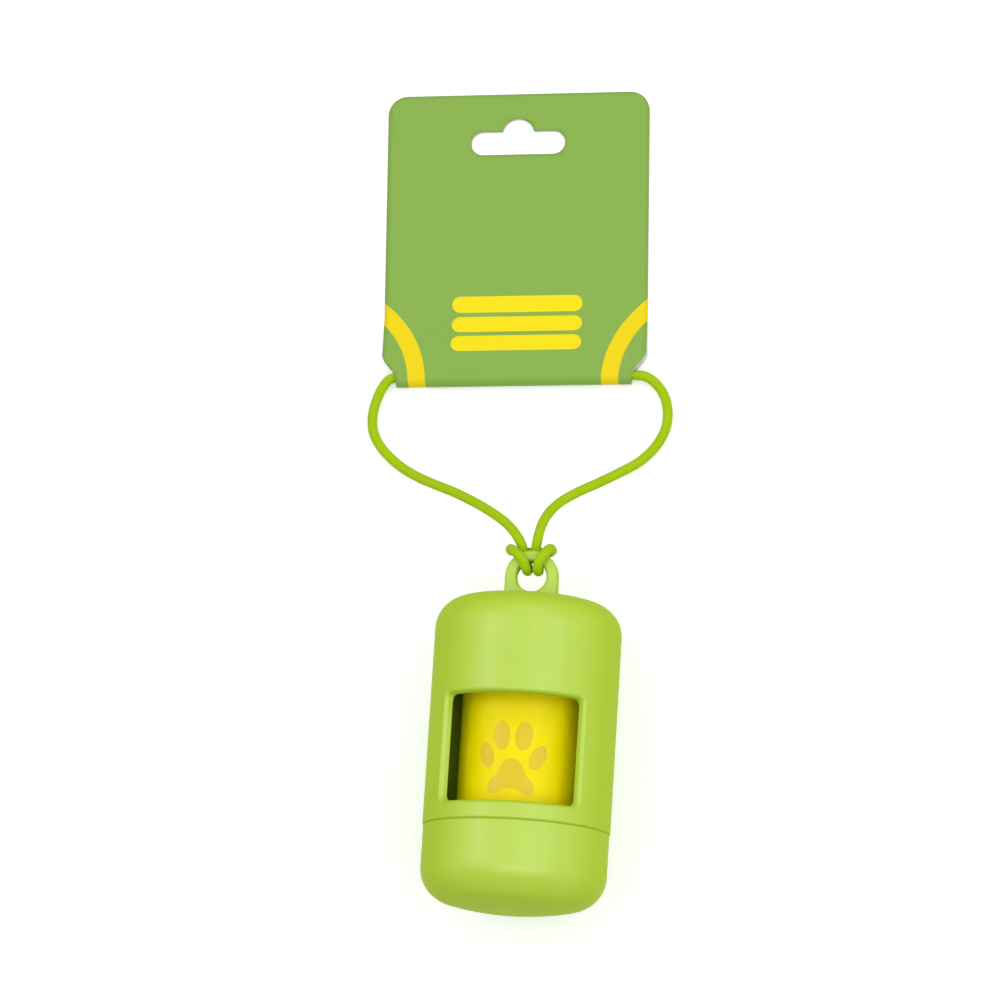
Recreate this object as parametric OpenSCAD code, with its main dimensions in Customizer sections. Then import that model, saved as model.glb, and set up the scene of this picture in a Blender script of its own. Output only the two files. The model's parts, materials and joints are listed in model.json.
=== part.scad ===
// Round dispenser for rolled dog waste bags, with its elastic loop and header card.
// A moulded housing with a window and an eye holds a wound roll of bags on a paper
// core. A screw cap closes it. The dispenser lies on its back on a table: its axis
// is along Y with the eye at +Y, and the window looks up. All sizes in millimetres.

/* [Housing] */
// Outer diameter of the housing
body_d = 46; // [42:1:60]
// Height of the housing from the seam to the crown of its closed end
housing_len = 58; // [56:0.5:90]
// Wall of the housing and of the cap
wall = 2; // [1.2:0.1:2.6]
// Radius of the round edge at the closed end
end_fillet_r = 7.8; // [4:0.1:10]
// Radius of the shallow dome of the closed end
dome_r = 90; // [40:1:200]

/* [Window] */
// Half of the angle that the window spans round the axis
window_half_angle = 47.5; // [30:0.5:55]
// Height of the window along the axis, at the wall
window_h = 26.2; // [10:0.2:34]
// Distance from the seam to the window's lower edge
window_rise = 4.4; // [3.6:0.1:8]
// Draft of the window's upper and lower walls
window_draft = 5; // [0:0.5:8]
// Corner radius of the window
window_corner_r = 1.6; // [0.6:0.1:4]
// Radius of the rounded outer edge all round the window
window_edge_r = 1; // [0.4:0.1:1.1]

/* [Neck] */
// Length of the neck that the cap screws onto
neck_len = 8; // [5:0.5:9]
// Wall of the neck
neck_wall = 1.4; // [1.2:0.1:2.6]
// Radial gap between the neck and the cap, which the thread takes up
neck_gap = 0.8; // [0.3:0.1:1.2]
// Gap at the seam between the housing's shoulder and the cap's rim
seam_gap = 0.15; // [0.1:0.05:0.4]
// Chamfer of both edges along the seam
seam_chamfer = 0.25; // [0.1:0.05:0.6]

/* [Eye] */
// Width of the eye's opening
eye_hole_d = 7.4; // [6:0.2:12]
// Width of the eye's bar
eye_bar_w = 2.9; // [2:0.1:4]
// Thickness of the eye's bar, front to back
eye_bar_t = 3.6; // [2.4:0.1:5]
// Edge radius of the eye's bar
eye_edge_r = 0.9; // [0.4:0.1:1]
// Height of the eye's centre over the crown of the closed end
eye_lift = 4.8; // [1:0.2:8]

/* [Cap] */
// Length of the cap from the seam to its flat end
cap_len = 20.4; // [18:0.2:30]
// How much smaller the cap's radius is than the housing's
cap_inset = 0.2; // [0:0.05:0.5]
// Radius of the round edge at the cap's end
cap_fillet_r = 8.7; // [4:0.1:11]
// Radius of the slight crown of the cap's end
cap_crown_r = 70; // [45:1:200]
// Diameter of the flat in the middle of the cap's end
cap_flat_d = 14; // [8:1:24]

/* [Roll] */
// Outer diameter of the full roll of bags
roll_d = 30.8; // [24:0.2:34]
// Width of the bags as wound
roll_len = 60; // [50:1:61]
// Number of bags, each wound as one lap
lap_count = 15; // [5:1:20]
// Gap between one lap and the next
lap_gap = 0.12; // [0.08:0.02:0.2]
// Outer diameter of the paper core
core_d = 13.2; // [11:0.2:16]
// Wall of the paper core
core_wall = 1.2; // [0.8:0.1:1.6]
// How far the core stands out past the bags at each end
core_overhang = 1; // [0:0.5:2]
// Gap between the core and the innermost lap
core_gap = 0.2; // [0.1:0.05:0.4]

/* [Stubs] */
// Length of the stubs' noses inside the core
nose_len = 6; // [3:0.5:10]
// Radial running clearance of a nose in the core
nose_clearance = 0.1; // [0.05:0.01:0.3]
// End play between the core and each shoulder
end_play = 0.3; // [0.2:0.05:0.8]
// Wall of the hollow stubs
stub_wall = 1.6; // [1:0.1:2.4]
// Thickness of the webs that brace each stub
web_t = 1.2; // [0.8:0.1:2]
// Reach of the webs from the axis
web_reach = 12; // [9:0.5:14]

/* [Cord] */
// Diameter of the elastic cord
cord_d = 2.5; // [2:0.1:2.6]
// Diameter of the crimp sleeve that joins the cord's ends
ferrule_d = 3.2; // [3:0.1:3.3]
// Length of the crimp sleeve
ferrule_len = 9; // [6:1:14]

/* [Card] */
// Width of the header card
card_w = 67.5; // [64:0.5:90]
// Height of the folded card, from its fold to its top edge
card_h = 77; // [60:1:110]
// Thickness of one layer of the card
card_t = 0.45; // [0.3:0.05:0.6]
// Radial gap between the card's fold and the crimp sleeve
fold_gap = 0.25; // [0.2:0.05:0.5]
// Length of the fold between its two cut corners
fold_len = 60; // [50:0.5:61]
// Distance from the fold's axis to where the card's two layers meet
layers_meet = 16; // [10:1:24]
// Radius of the card's upper corners
card_corner_r = 5; // [1:0.5:12]
// Overall width of the hang slot
slot_w = 24.2; // [18:0.1:32]
// Height of the hang slot
slot_h = 6.1; // [4.5:0.1:8]
// Radius of the hang slot's upper notch
slot_notch_r = 4.1; // [3:0.1:5]
// Height of the notch's centre over the slot's middle
slot_notch_rise = 2.2; // [1:0.1:3]
// Distance from the card's top edge to the slot's middle
slot_drop = 12.9; // [9:0.1:20]

/* [Hidden] */
$fn = 96;
arc_steps = 10;
overlap = 0.5;

body_r = body_d / 2;
inner_r = body_r - wall;
neck_r = inner_r - neck_gap;
neck_inner_r = neck_r - neck_wall;
cap_r = body_r - cap_inset;
cap_flat_r = cap_flat_d / 2;
cap_crown_top = cap_len + cap_crown_r - sqrt(pow(cap_crown_r, 2) - pow(cap_flat_r, 2));

eye_hole_r = eye_hole_d / 2;
eye_r = eye_hole_r + eye_bar_w;
eye_z = housing_len + eye_lift;
eye_top = eye_z + eye_r;
seam_y = (cap_len - eye_top) / 2;
eye_centre = [0, seam_y + eye_z, body_r];

window_z = window_rise + window_h / 2;
window_near = inner_r / 2;
window_far = body_r + 3;
window_edge_steps = 4;
window_side_steps = 16;
window_edge_lift = 0.05;

core_len = roll_len + 2 * core_overhang;
core_r = core_d / 2;
core_inner_r = core_r - core_wall;
stub_r = core_r;
nose_r = core_inner_r - nose_clearance;
roll_mid_z = (housing_len - cap_len) / 2;
upper_shoulder_z = roll_mid_z + core_len / 2 + end_play;
lower_shoulder_z = roll_mid_z - core_len / 2 - end_play;

roll_r = roll_d / 2;
first_lap_r = core_r + core_gap;
lap_pitch = (roll_r + lap_gap - first_lap_r) / (lap_count + 1);
lap_t = lap_pitch - lap_gap;
lap_sides = 36;
perforation_angle = 3;

cord_r = cord_d / 2;
ferrule_r = ferrule_d / 2;
fold_inner_r = ferrule_r + fold_gap;
fold_r = fold_inner_r + card_t;
card_top = card_h - fold_r;

// The card's fold on the table, from the eye's centre, and the card's turn
card_place = [-10.8, 55.1];
card_turn = 2.7;

// The left leg of the loop from the card to the hitch, from the eye's centre in X and
// Y and from the table in Z
left_leg = [
    [-44.2, 51.6, 1.9], [-45.7, 48.3, 1.4], [-46.5, 44, 1.3], [-46, 39.9, 1.3],
    [-43.7, 35.9, 1.3], [-39.2, 31.7, 1.8], [-33.8, 28.3, 4], [-28.8, 26, 6],
    [-23.3, 23.7, 8.3], [-18.5, 21.3, 10.7], [-14.3, 18.9, 13.1], [-10.7, 16.5, 15.4],
    [-7.8, 14.2, 17.4], [-5.4, 11.6, 19]
];
// The right leg from the hitch back to the card
right_leg = [
    [0.5, 12, 18.8], [1, 15, 17], [2.1, 18.2, 14.3], [4.3, 21.5, 11.3],
    [8, 24.7, 8.3], [13.2, 28.1, 5.4], [18.1, 31.4, 3.1], [22.4, 34.5, 1.6],
    [26, 38.3, 1.3], [28.3, 42.7, 1.3], [28.8, 47, 1.3], [27.7, 51.6, 1.3],
    [25.3, 54.8, 1.7], [22.9, 56.3, 2.1]
];
// The cow hitch, from the eye's centre: down behind the bar, forward through the
// opening, over the bar on the left, across behind both legs and the same way back
hitch = [
    [-3.6, 8.8, -3.2], [-3.1, 7.2, -3.2], [-2.4, 5.2, -3.2], [-1.9, 3.6, -3.2],
    [-1.5, 2.3, -2.5], [-1.35, 1.75, -1.1], [-1.35, 1.75, 1.1], [-1.5, 2.3, 2.5],
    [-2.1, 3.7, 3.3], [-3.5, 5.1, 3.3], [-4.7, 6.2, 2.5], [-5.5, 6.8, 0.7],
    [-6, 7.1, -1.4], [-6, 7.2, -3.6], [-5.1, 7.3, -5.4], [-3.3, 7.4, -6.2],
    [-1, 7.4, -6.4], [1.3, 7.4, -6.2], [3.1, 7.4, -5.3], [4, 7.4, -3.5],
    [4.3, 7.3, -1.4], [4.3, 7.2, 0.7], [3.9, 6.6, 2.5], [3.1, 5.3, 3.3],
    [2, 3.7, 3.3], [1.5, 2.3, 2.5], [1.35, 1.75, 1.1], [1.35, 1.75, -1.1],
    [1.25, 2.3, -2.5], [0.9, 3.6, -3.2], [0.4, 5.2, -3.2], [0.1, 7.2, -3.2],
    [0.2, 9, -3.2]
];
cord_route = concat(
    [fold_point(-ferrule_len / 2), fold_point(-fold_len / 3), fold_point(-fold_len / 2 - 1.5)],
    [for (p = left_leg) on_table(p)],
    [for (p = hitch) eye_centre + p],
    [for (p = right_leg) on_table(p)],
    [fold_point(fold_len / 2 + 1.5), fold_point(fold_len / 3), fold_point(ferrule_len / 2)]
);
cord_sides = 8;

function bag_name(n) = str("bag_", n < 10 ? "0" : "", n);

function on_table(p) = [eye_centre.x + p.x, eye_centre.y + p.y, p.z];

function fold_point(x) = on_table([card_place.x + x * cos(card_turn),
                                   card_place.y + x * sin(card_turn), fold_r]);

// Half outline of a closed round end, [radius, height], from the side up to the axis.
// A fillet leads from the side into a spherical crown that ends at height top.
function round_end(r, fillet, crown, top) =
    let (
        crown_z = top - crown,
        fillet_z = crown_z + sqrt(pow(crown - fillet, 2) - pow(r - fillet, 2)),
        blend = atan2(fillet_z - crown_z, r - fillet)
    )
    concat(
        [for (i = [0:arc_steps])
            let (a = blend * i / arc_steps)
            [r - fillet + fillet * cos(a), fillet_z + fillet * sin(a)]],
        [for (i = [1:arc_steps])
            let (a = blend + (90 - blend) * i / arc_steps)
            [crown * cos(a), crown_z + crown * sin(a)]]
    );

function reversed(list) = [for (i = [len(list) - 1:-1:0]) list[i]];

function below(list) = [for (p = list) [p.x, -p.y]];

function unit(v) = v / norm(v);

// Stands the dispenser's own axis, +Z with the window at -Y, down along +Y
module lay_down() {
    translate([0, seam_y, body_r]) rotate([-90, 0, 0]) children();
}

// A closed solid through rings of equally many points, each ring anticlockwise as seen
// from the next one's side
module loft(rings) {
    last = len(rings) - 1;
    sides = len(rings[0]);
    walls = [for (i = [0:last - 1], k = [0:sides - 1])
        let (a = i * sides + k, b = i * sides + (k + 1) % sides)
        each [[a, a + sides, b + sides], [a, b + sides, b]]];
    first_end = [for (k = [0:sides - 1]) k];
    last_end = [for (k = [sides - 1:-1:0]) last * sides + k];
    polyhedron([for (ring = rings) each ring], concat([first_end, last_end], walls));
}

module rounded_section(w, t, r) {
    square([w - 2 * r, t], center = true);
    square([w, t - 2 * r], center = true);
    for (x = [-1, 1], y = [-1, 1])
        translate([x * (w / 2 - r), y * (t / 2 - r)]) circle(r);
}

// Shell of the housing: closed end, straight wall and the thinner neck for the cap
module housing_shell() {
    step_z = wall + neck_gap + neck_wall;
    rotate_extrude()
        polygon(concat(
            [[neck_inner_r, -neck_len],
             [neck_r - seam_chamfer, -neck_len],
             [neck_r, -neck_len + 2 * seam_chamfer],
             [neck_r, 0],
             [body_r - seam_chamfer, 0],
             [body_r, seam_chamfer]],
            round_end(body_r, end_fillet_r, dome_r, housing_len),
            reversed(round_end(inner_r, end_fillet_r - wall, dome_r - wall,
                               housing_len - wall)),
            [[inner_r, step_z],
             [neck_inner_r, step_z - neck_wall - neck_gap]]
        ));
}

// Outline of the window in a wall of radius r, grown outwards by grow, as [angle, height]
// pairs. The upper and the lower edge follow the wall in even steps.
function window_outline(r, grow) =
    let (
        corner_r = window_corner_r + grow,
        half_h = window_h / 2 + tan(window_draft) * (r - inner_r) + grow,
        x = window_half_angle * PI / 180 * r + grow - corner_r,
        y = half_h - corner_r,
        upper = concat(
            [for (a = [0:22.5:90]) [x + corner_r * cos(a), y + corner_r * sin(a)]],
            [for (i = [1:window_side_steps - 1]) [x * (1 - 2 * i / window_side_steps), half_h]],
            [for (a = [90:22.5:180]) [-x + corner_r * cos(a), y + corner_r * sin(a)]]
        )
    )
    [for (side = [1, -1], p = upper) [side * p.x / r * 180 / PI, window_z + side * p.y]];

// Core that forms the window: its side walls point at the axis, its upper and lower
// walls have draft, and it flares into the rounded outer edge
module window_cutter() {
    edge_z = body_r - window_edge_r + window_edge_lift;
    near_ring = [for (p = window_outline(window_near, 0))
        [window_near * tan(p.x), -window_near, p.y]];
    edge_rings = [for (i = [0:window_edge_steps])
        let (a = 90 * i / window_edge_steps, r = edge_z + window_edge_r * sin(a))
        [for (p = window_outline(r, window_edge_r * (1 - cos(a))))
            [r * sin(p.x), -r * cos(p.x), p.y]]];
    far_ring = [for (p = window_outline(body_r + window_edge_lift, window_edge_r))
        [window_far * tan(p.x), -window_far, p.y]];
    loft(concat([near_ring], edge_rings, [far_ring]));
}

// Hollow stub that carries one end of the core: shoulder at 0, nose towards -Z
module stub(post_len) {
    lead = 0.8;
    bore_r = nose_r - stub_wall;
    difference() {
        union() {
            cylinder(h = post_len, r = stub_r);
            translate([0, 0, lead - nose_len]) cylinder(h = nose_len - lead + overlap, r = nose_r);
            translate([0, 0, -nose_len]) cylinder(h = lead, r1 = nose_r - lead / 2, r2 = nose_r);
        }
        translate([0, 0, -nose_len - overlap])
            cylinder(h = nose_len + overlap + post_len - wall, r = bore_r);
    }
}

// Four webs from a stub to the end wall, between the axis and web_reach
module webs(post_len) {
    for (a = [45:90:315])
        rotate([0, 0, a]) translate([0, web_t / 2, 0]) rotate([90, 0, 0])
            linear_extrude(web_t)
                polygon([[stub_r - overlap, 1], [stub_r + 1, 1], [web_reach, post_len * 0.6],
                         [web_reach, post_len], [stub_r - overlap, post_len]]);
}

// The eye: a full ring of rounded section, and a plate that joins it to the closed end
module eye() {
    bar_mid_r = eye_hole_r + eye_bar_w / 2;
    foot = eye_lift + wall / 2 + pow(eye_r, 2) / (2 * dome_r);
    translate([0, 0, eye_z]) {
        intersection() {
            rotate([90, 0, 0]) rotate_extrude()
                translate([bar_mid_r, 0]) rounded_section(eye_bar_w, eye_bar_t, eye_edge_r);
            translate([0, 0, -foot]) cylinder(h = foot + eye_r + overlap, r = eye_r + overlap);
        }
        difference() {
            translate([0, 0, -foot]) linear_extrude(foot)
                rounded_section(2 * eye_r, eye_bar_t, eye_edge_r);
            rotate([90, 0, 0]) cylinder(h = eye_bar_t + overlap, r = bar_mid_r, center = true);
        }
    }
}

module housing() {
    post_len = housing_len - wall / 2 - upper_shoulder_z;
    color([0.64, 0.80, 0.12]) lay_down() {
        difference() {
            housing_shell();
            window_cutter();
        }
        intersection() {
            translate([0, 0, upper_shoulder_z]) {
                stub(post_len);
                webs(post_len);
            }
            rotate_extrude()
                polygon(concat([[0, upper_shoulder_z - nose_len - 1],
                                [body_r - wall / 2, upper_shoulder_z - nose_len - 1]],
                               round_end(body_r - wall / 2, end_fillet_r - wall / 2,
                                         dome_r - wall / 2, housing_len - wall / 2)));
        }
        eye();
    }
}

module end_cap() {
    post_len = lower_shoulder_z + cap_len - wall / 2;
    inner_fillet_r = cap_fillet_r - wall;
    outer = round_end(cap_r, cap_fillet_r, cap_crown_r, cap_crown_top);
    inner = round_end(inner_r, inner_fillet_r, cap_crown_r - wall, cap_crown_top - wall);
    color([0.64, 0.80, 0.12]) lay_down() {
        intersection() {
            rotate_extrude()
                polygon(below(concat(
                    [[inner_r, seam_gap],
                     [cap_r - seam_chamfer, seam_gap],
                     [cap_r, seam_gap + seam_chamfer]],
                    outer,
                    reversed(inner)
                )));
            translate([0, 0, -cap_len]) cylinder(h = cap_len, r = body_r);
        }
        translate([0, 0, lower_shoulder_z]) rotate([180, 0, 0]) {
            stub(post_len);
            webs(post_len);
        }
    }
}

module roll_core() {
    color([0.72, 0.60, 0.44]) lay_down()
        translate([0, 0, roll_mid_z - core_len / 2])
            difference() {
                cylinder(h = core_len, r = core_r);
                translate([0, 0, -overlap])
                    cylinder(h = core_len + 2 * overlap, r = core_inner_r);
            }
}

// One bag, wound as one lap of a spiral. Bag 1 is the outermost.
module bag(n) {
    start_r = first_lap_r + (lap_count - n) * lap_pitch;
    sweep = 360 - perforation_angle;
    inside = [for (i = [0:lap_sides])
        let (a = sweep * i / lap_sides, r = start_r + lap_pitch * a / 360)
        r * [cos(a), sin(a)]];
    outside = [for (i = [0:lap_sides])
        let (a = sweep * i / lap_sides, r = start_r + lap_t + lap_pitch * a / 360)
        r * [cos(a), sin(a)]];
    color([0.96, 0.86, 0.05]) lay_down()
        translate([0, 0, roll_mid_z - roll_len / 2])
            linear_extrude(roll_len) polygon(concat(outside, reversed(inside)));
}

// A round tube through the given points, its rings turned as little as can be
module tube(points, r, sides) {
    last = len(points) - 1;
    along = [for (i = [0:last])
        unit(points[min(i + 1, last)] - points[max(i - 1, 0)])];
    function across(i) = i == 0
        ? unit(cross(along[0], [0, 0, 1]))
        : let (u = across(i - 1)) unit(u - (u * along[i]) * along[i]);
    loft([for (i = [0:last])
        let (u = across(i), v = cross(along[i], u))
        [for (k = [0:sides - 1])
            points[i] + r * (u * cos(360 * k / sides) + v * sin(360 * k / sides))]]);
}

module cord_loop() {
    color([0.60, 0.76, 0.08]) tube(cord_route, cord_r, cord_sides);
}

module cord_ferrule() {
    color("silver") translate(fold_point(0)) rotate([0, 0, card_turn]) rotate([0, 90, 0])
        cylinder(h = ferrule_len, r = ferrule_r, center = true);
}

// Section of the card across its fold: the lower layer lies on the table, and the
// upper one leaves the round fold and comes down to it where the layers meet
module card_section() {
    meet = [layers_meet, 2 * card_t];
    to_meet = meet - [0, fold_r];
    lift = atan2(to_meet.y, to_meet.x) + acos(fold_r / norm(to_meet));
    out = [cos(lift), sin(lift)];
    down = [out.y, -out.x];
    inner_run = (fold_r - card_t + fold_inner_r * out.y) / -down.y;
    outer_arc = [for (i = [0:24])
        let (a = 270 - (270 - lift) * i / 24)
        [0, fold_r] + fold_r * [cos(a), sin(a)]];
    inner_arc = [for (i = [0:24])
        let (a = 270 - (270 - lift) * i / 24)
        [0, fold_r] + fold_inner_r * [cos(a), sin(a)]];
    difference() {
        polygon(concat(outer_arc, [meet, [card_top, 2 * card_t], [card_top, 0]]));
        polygon(concat(inner_arc, [[0, fold_r] + fold_inner_r * out + inner_run * down]));
    }
}

// Outline of the folded card: rounded upper corners, cut lower corners, hang slot
module card_outline() {
    half_w = card_w / 2;
    half_fold = fold_len / 2;
    cut_w = half_w - half_fold;
    slot_y = card_top - slot_drop;
    cut_corner = [[half_fold, -fold_r - overlap], [half_fold, 0],
                  [half_fold + 0.33 * cut_w, 0.5 * cut_w],
                  [half_fold + 0.8 * cut_w, 1.05 * cut_w], [half_w, 1.5 * cut_w]];
    upper_corner = [for (i = [0:12])
        [half_w - card_corner_r + card_corner_r * cos(90 * i / 12),
         card_top - card_corner_r + card_corner_r * sin(90 * i / 12)]];
    right = concat(cut_corner, upper_corner);
    difference() {
        polygon(concat(right, [for (p = reversed(right)) [-p.x, p.y]]));
        translate([0, slot_y]) {
            square([slot_w - slot_h, slot_h], center = true);
            for (side = [-1, 1]) translate([side * (slot_w - slot_h) / 2, 0]) circle(slot_h / 2);
            translate([0, slot_notch_rise]) circle(slot_notch_r);
        }
    }
}

module header_card() {
    color([0.56, 0.72, 0.34]) translate(on_table([card_place.x, card_place.y, 0]))
        rotate([0, 0, card_turn])
            intersection() {
                rotate([90, 0, 90]) linear_extrude(card_w + 2, center = true) card_section();
                translate([0, 0, -1]) linear_extrude(2 * fold_r + 2) card_outline();
            }
}

housing();
end_cap();
roll_core();
for (n = [1:lap_count]) bag(n);
cord_loop();
cord_ferrule();
header_card();
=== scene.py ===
"""Looks of a round dispenser for rolled dog waste bags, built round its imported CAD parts.

The dispenser lies on its back on a table: its axis is along Y with the cap at -Y and the
eye at +Y, and the window looks up. Everything is in metres, and mm() turns millimetres
into metres.
"""

import json
import math
import random

import bpy
import numpy as np
from mathutils import Matrix, Vector, geometry, noise


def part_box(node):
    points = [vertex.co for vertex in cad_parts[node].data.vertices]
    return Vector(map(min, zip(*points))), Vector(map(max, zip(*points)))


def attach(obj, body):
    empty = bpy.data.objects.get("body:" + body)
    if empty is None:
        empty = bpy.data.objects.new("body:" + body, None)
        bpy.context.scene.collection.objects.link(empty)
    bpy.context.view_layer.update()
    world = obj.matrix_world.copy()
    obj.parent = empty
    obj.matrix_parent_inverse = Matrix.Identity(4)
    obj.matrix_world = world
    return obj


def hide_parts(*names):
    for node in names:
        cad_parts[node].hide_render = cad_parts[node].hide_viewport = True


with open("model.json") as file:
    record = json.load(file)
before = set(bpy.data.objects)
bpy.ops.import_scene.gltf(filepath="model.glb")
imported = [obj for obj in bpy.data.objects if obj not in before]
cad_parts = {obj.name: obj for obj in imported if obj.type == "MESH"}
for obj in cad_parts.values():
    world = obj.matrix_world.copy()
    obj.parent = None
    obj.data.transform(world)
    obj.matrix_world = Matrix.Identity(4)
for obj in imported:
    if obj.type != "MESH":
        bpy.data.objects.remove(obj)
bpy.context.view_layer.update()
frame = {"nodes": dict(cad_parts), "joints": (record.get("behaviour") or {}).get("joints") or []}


def mm(*lengths):
    """Millimetres as metres: one number, or a tuple of several."""
    scaled = tuple(length * 0.001 for length in lengths)
    return scaled[0] if len(scaled) == 1 else scaled


# ---------------------------------------------------------------- sizes from the frame

joints = {joint["name"]: joint for joint in frame["joints"]}
housing_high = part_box("housing")[1]
BODY_R = housing_high.x
AXIS_Z = BODY_R
SEAM_Y = joints["cap_turn"]["pos_m"][1]
ROLL_MID_Y = joints["roll_spin"]["pos_m"][1]
EYE_R = mm(6.6)
EYE_CENTRE = np.array([0, housing_high.y - EYE_R, AXIS_Z])
FOLD_CENTRE = np.array(joints["card_swing"]["pos_m"])
FOLD_ALONG = np.array(joints["card_swing"]["axis"])
CARD_UP = np.cross([0, 0, 1], FOLD_ALONG)

# ---------------------------------------------------------------- camera

VIEW_AZIMUTH = math.radians(8.545)
VIEW_TILT = math.radians(11.054)
VIEW_ROLL = math.radians(3.665)
VIEW_DISTANCE = 1.2
VIEW_LENS = 174.4
VIEW_TARGET = Vector(mm(-9.21, 57.47, 23))


def make_camera():
    """A camera over the table, turned a little to the right and towards the cap."""
    back = Vector((
        math.sin(VIEW_AZIMUTH) * math.cos(VIEW_TILT),
        -math.sin(VIEW_TILT),
        math.cos(VIEW_AZIMUTH) * math.cos(VIEW_TILT),
    ))
    along = (Vector((0, 1, 0)) - back * back.y).normalized()
    across = along.cross(back)
    right = across * math.cos(VIEW_ROLL) + along * math.sin(VIEW_ROLL)
    up = along * math.cos(VIEW_ROLL) - across * math.sin(VIEW_ROLL)
    camera = bpy.data.objects.new("camera", bpy.data.cameras.new("camera"))
    camera.data.lens = VIEW_LENS
    camera.data.sensor_width = 36
    camera.data.clip_start = 0.01
    turned = Matrix((right, up, back)).transposed().to_4x4()
    camera.matrix_world = Matrix.Translation(VIEW_TARGET + back * VIEW_DISTANCE) @ turned
    bpy.context.scene.collection.objects.link(camera)
    bpy.context.scene.camera = camera


# ---------------------------------------------------------------- meshes


def add_mesh(name, points, faces, uvs=None, smooth=True):
    """A mesh object. uvs holds one pair for each corner of each face, in order."""
    mesh = bpy.data.meshes.new(name)
    mesh.from_pydata([tuple(p) for p in points], [], faces)
    if uvs is not None:
        layer = mesh.uv_layers.new(name="flat")
        layer.data.foreach_set("uv", np.asarray(uvs, np.float32).ravel())
    mesh.polygons.foreach_set("use_smooth", [smooth] * len(faces))
    mesh.update()
    piece = bpy.data.objects.new(name, mesh)
    bpy.context.scene.collection.objects.link(piece)
    return piece


def loft(name, rings, ring_uvs=None):
    """A closed skin over rings, an array [ring, point, xyz], with an n-gon at both ends.

    ring_uvs is an array [ring, point + 1, uv], whose last point closes the ring.
    """
    rings = np.asarray(rings, float)
    count, sides = rings.shape[:2]
    faces, uvs = [], []
    for i in range(count - 1):
        for k in range(sides):
            a, b = i * sides + k, i * sides + (k + 1) % sides
            faces.append((a, b, b + sides, a + sides))
            if ring_uvs is not None:
                low, high = ring_uvs[i], ring_uvs[i + 1]
                uvs += [low[k], low[k + 1], high[k + 1], high[k]]
    last = (count - 1) * sides
    faces.append(tuple(range(sides - 1, -1, -1)))
    faces.append(tuple(last + k for k in range(sides)))
    if ring_uvs is not None:
        uvs += [ring_uvs[0][k] for k in range(sides - 1, -1, -1)]
        uvs += [ring_uvs[-1][k] for k in range(sides)]
    return add_mesh(name, rings.reshape(-1, 3), faces, uvs or None)


def dress(piece, material, body=None, replaced=()):
    """Gives a piece its material and, for a new piece, its body, and hides the CAD parts that it
    replaces.
    """
    if piece.data.materials:
        for index in range(len(piece.data.materials)):
            piece.data.materials[index] = material
    else:
        piece.data.materials.append(material)
    if body:
        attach(piece, body)
    if replaced:
        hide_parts(*replaced)
    return piece


JOINED_WITHIN = mm(0.01)
SMOOTH_BELOW = math.radians(30)


def shade_evenly(pieces):
    """Joins the rows of faces that a rounded CAD surface comes in, and shades over each
    edge flatter than SMOOTH_BELOW, with more weight to the larger faces. The shape stays
    as it is."""
    tree = bpy.data.node_groups.new("even_shading", "GeometryNodeTree")
    for end in ("INPUT", "OUTPUT"):
        tree.interface.new_socket(
            "Geometry", in_out=end, socket_type="NodeSocketGeometry")
    start, join, normal, stop = [tree.nodes.new(kind) for kind in (
        "NodeGroupInput", "GeometryNodeMergeByDistance", "GeometryNodeSetMeshNormal",
        "NodeGroupOutput")]
    for one, other in ((start, join), (join, normal), (normal, stop)):
        tree.links.new(one.outputs[0], other.inputs[0])
    join.inputs["Distance"].default_value = JOINED_WITHIN
    angle = tree.nodes.new("GeometryNodeInputMeshEdgeAngle")
    steep = tree.nodes.new("ShaderNodeMath")
    steep.operation = "GREATER_THAN"
    steep.inputs[1].default_value = SMOOTH_BELOW
    tree.links.new(angle.outputs["Unsigned Angle"], steep.inputs[0])
    tree.links.new(steep.outputs[0], normal.inputs["Edge Sharpness"])
    normal.inputs["Remove Custom"].default_value = True
    for piece in pieces:
        piece.modifiers.new("even_shading", "NODES").node_group = tree
        piece.modifiers.new("weighted_normals", "WEIGHTED_NORMAL").keep_sharp = True


# ---------------------------------------------------------------- node materials


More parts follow.
